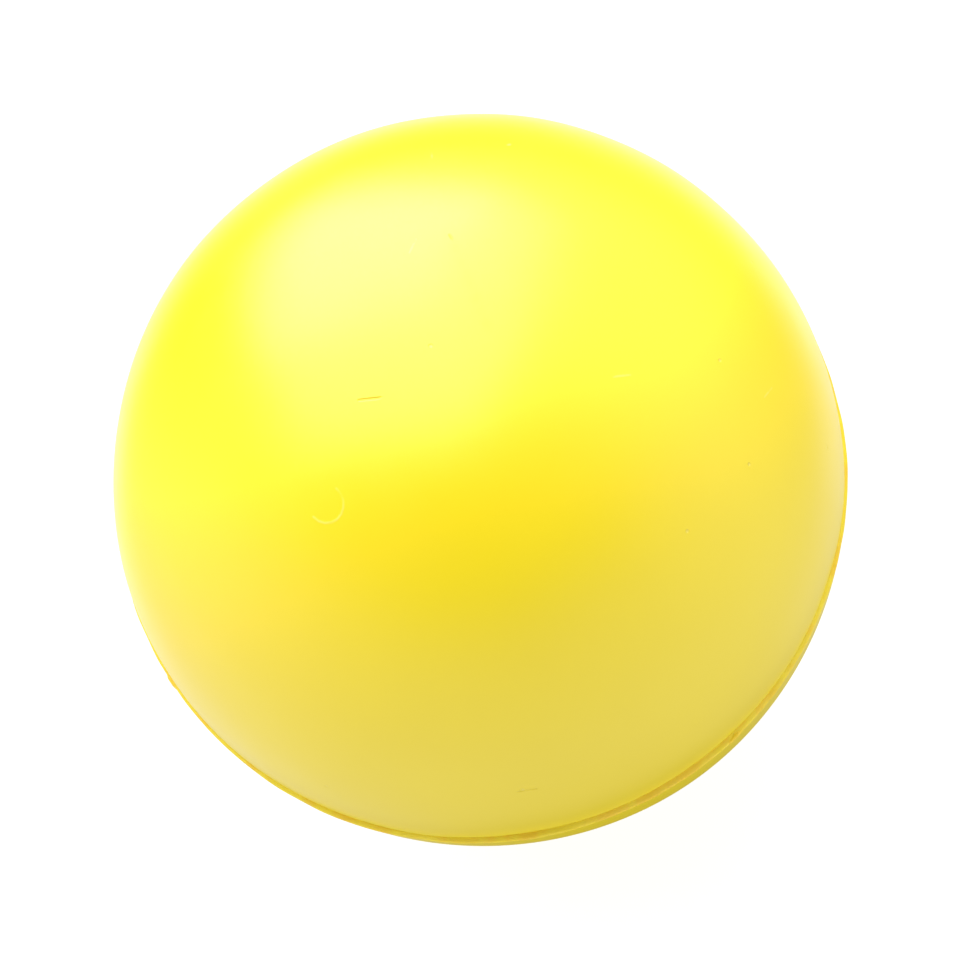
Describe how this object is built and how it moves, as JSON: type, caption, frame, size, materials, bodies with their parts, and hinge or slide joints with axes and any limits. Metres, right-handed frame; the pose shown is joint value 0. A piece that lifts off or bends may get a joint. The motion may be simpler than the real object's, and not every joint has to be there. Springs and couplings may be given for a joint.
{
  "type": "stress ball",
  "caption": "Round polyurethane foam squeeze ball: a satin coated skin over a cellular core, a raised parting bead and a small flat to rest on; it squashes when pressed and springs back.",
  "frame": {"origin": "middle of the small flat at the trimmed pour gate, which is the lowest point and the surface that the ball stands on", "axes": "+Z is the mould axis, up from the gate flat through the ball's centre to the opposite pole, square to the parting plane; +X and +Y lie in the plane of the table, and the first vent nib stands 21 degrees round from -Y, counter-clockwise seen from above"},
  "size_m": [0.0706, 0.0706, 0.0696],
  "materials": {
    "coat": "satin",
    "flash": "satin",
    "foam": "matte"
  },
  "bodies": {
    "lower_half": {"lower_skin": "coat", "foam_core": "foam", "gate_plug": "foam"},
    "upper_half": {"upper_skin": "coat"},
    "seam_ring": {"parting_bead": "flash", "vent_nibs": "flash"}
  },
  "joints": [
    {"name": "squeeze", "type": "slide", "parent": "lower_half", "child": "upper_half", "axis": [0, 0, -1], "range_m": [0, 0.028], "stiffness_N_per_m": 2200, "deforming": ["upper_skin", "lower_skin", "foam_core"]},
    {"name": "seam_squeeze", "type": "slide", "parent": "lower_half", "child": "seam_ring", "axis": [0, 0, -1], "range_m": [0, 0.014]}
  ],
  "couplings": [
    {"joint": "seam_squeeze", "follows": "squeeze", "ratio": 0.4974}
  ]
}
